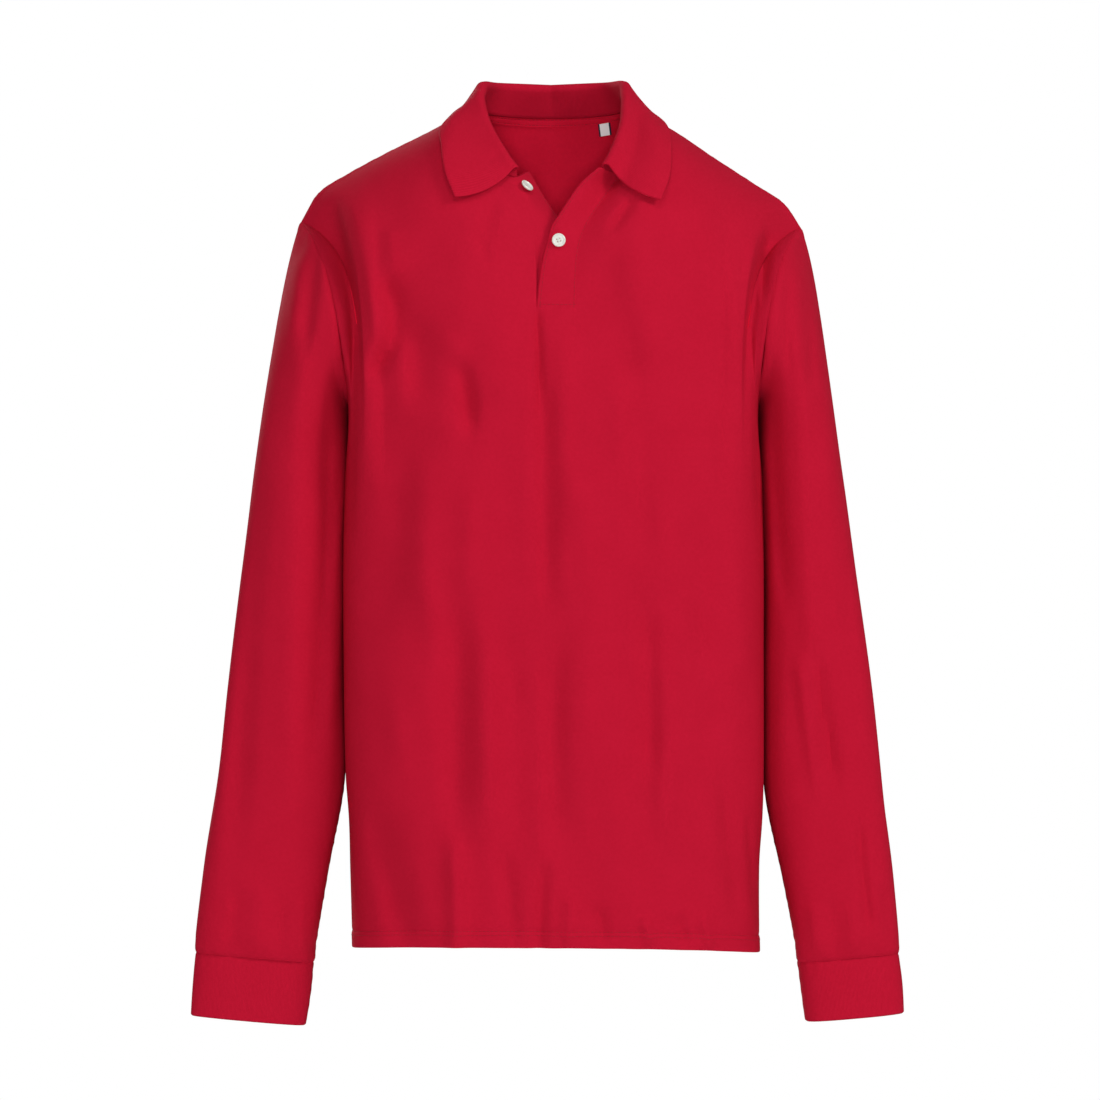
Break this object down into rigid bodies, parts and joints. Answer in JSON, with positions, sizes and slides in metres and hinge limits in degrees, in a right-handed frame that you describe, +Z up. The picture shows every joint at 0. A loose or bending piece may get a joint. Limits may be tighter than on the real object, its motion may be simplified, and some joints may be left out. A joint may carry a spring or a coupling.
{
  "type": "long-sleeve polo shirt",
  "caption": "Red long-sleeve knitted polo shirt, hollow as worn, with a turned-down collar, a part-open buttoned placket and rib cuffs.",
  "frame": {"origin": "the middle of the base of the neck, level with the points where the shoulder seams meet the neckline, where the wearer's neck and shoulders hold the shirt", "axes": "+Z up, -Y out of the front, +X towards the wearer's left sleeve"},
  "size_m": [0.6017, 0.2425, 0.8018],
  "materials": {
    "pique": "matte pique knit",
    "rib": "matte fine rib knit",
    "label": "matte woven",
    "button": "semi-gloss"
  },
  "bodies": {
    "root": {"front": "pique", "back": "pique", "sleeve_right": "pique", "sleeve_left": "pique", "cuff_right": "rib", "cuff_left": "rib", "collar": "rib", "placket_top": "pique", "placket_under": "pique", "neck_tape": "rib", "size_label": "label", "button_upper": "button", "button_lower": "button"}
  },
  "joints": []
}
